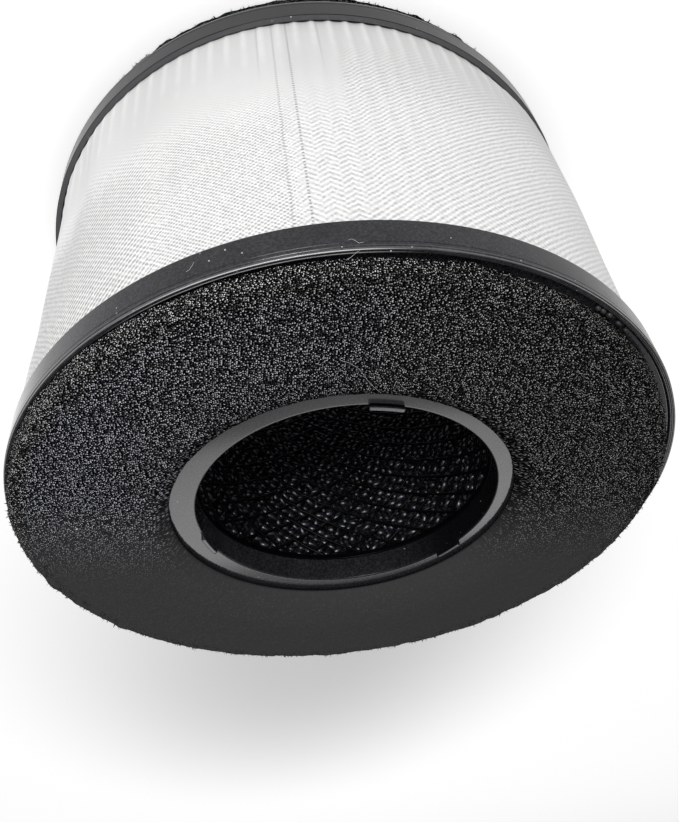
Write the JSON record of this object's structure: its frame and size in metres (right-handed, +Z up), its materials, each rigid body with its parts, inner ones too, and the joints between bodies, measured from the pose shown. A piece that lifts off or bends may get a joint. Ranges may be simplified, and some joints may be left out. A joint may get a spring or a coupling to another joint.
{
  "type": "air purifier filter",
  "caption": "Cylindrical air purifier filter with black end caps, foam gaskets, a white mesh sleeve over pleats, and carbon granules behind a lattice bore.",
  "frame": {"origin": "centre of the underside of the bottom foam ring, on the filter's axis", "axes": "+Z up along the filter's axis, from the bottom cap to the top cap; the seam of the mesh sleeve is on the -Y side"},
  "size_m": [0.18, 0.18, 0.1235],
  "materials": {
    "black_plastic": "satin",
    "black_foam": "matte",
    "white_nylon": "matte",
    "white_sheet": "matte",
    "carbon": "satin",
    "dark_glue": "satin"
  },
  "bodies": {
    "root": {"top_cap": "black_plastic", "bottom_cap": "black_plastic", "top_foam_ring": "black_foam", "bottom_foam_ring": "black_foam", "mesh_sleeve": "white_nylon", "pleated_media": "white_sheet", "core_tube": "black_plastic", "carbon_bed": "carbon", "carbon_net": "black_plastic", "top_glue": "dark_glue", "bottom_glue": "dark_glue"}
  },
  "joints": []
}
